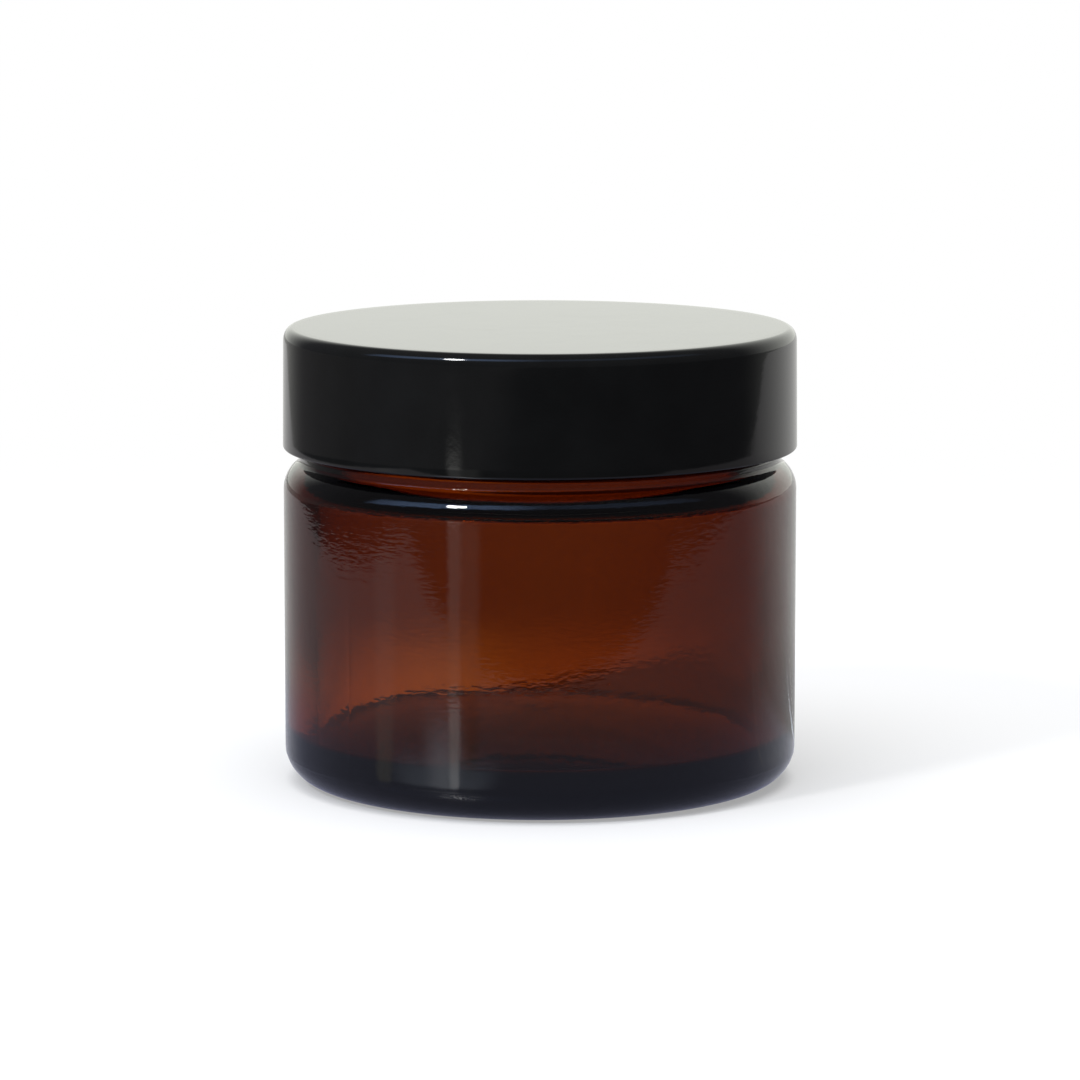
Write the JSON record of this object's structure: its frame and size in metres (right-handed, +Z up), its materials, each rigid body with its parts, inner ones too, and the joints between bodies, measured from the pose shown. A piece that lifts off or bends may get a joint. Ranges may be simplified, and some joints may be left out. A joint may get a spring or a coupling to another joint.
{
  "type": "cosmetic cream jar",
  "caption": "Straight-sided amber glass cream jar with a smooth black screw lid and a faced foam sealing wad; the lid unscrews and lifts clear of the threaded neck.",
  "frame": {"origin": "centre of the base, on the surface that the jar stands on", "axes": "+Z up along the jar's axis, towards the lid; the jar is round, so X and Y only fix where the threads start"},
  "size_m": [0.0564, 0.0564, 0.0502],
  "materials": {
    "amber_glass": "clear polished amber glass, faintly rippled inside",
    "black_lid": "smooth glossy moulded",
    "white_foam": "fine closed-cell foam",
    "liner_film": "satin film"
  },
  "bodies": {
    "jar": {"glass_jar": "amber_glass"},
    "liner": {"liner_foam": "white_foam", "liner_facing": "liner_film"},
    "lid": {"screw_lid": "black_lid"}
  },
  "joints": [
    {"name": "lid_lift", "type": "slide", "parent": "jar", "child": "liner", "axis": [0, 0, 1], "range_m": [0, 0.016]},
    {"name": "lid_turn", "type": "hinge", "parent": "liner", "child": "lid", "pos_m": [0, 0, 0.0502], "axis": [0, 0, 1], "range_deg": [0, 1440]}
  ],
  "couplings": [
    {"joint": "lid_lift", "follows": "lid_turn", "m_per_rad": 0.00063662}
  ]
}
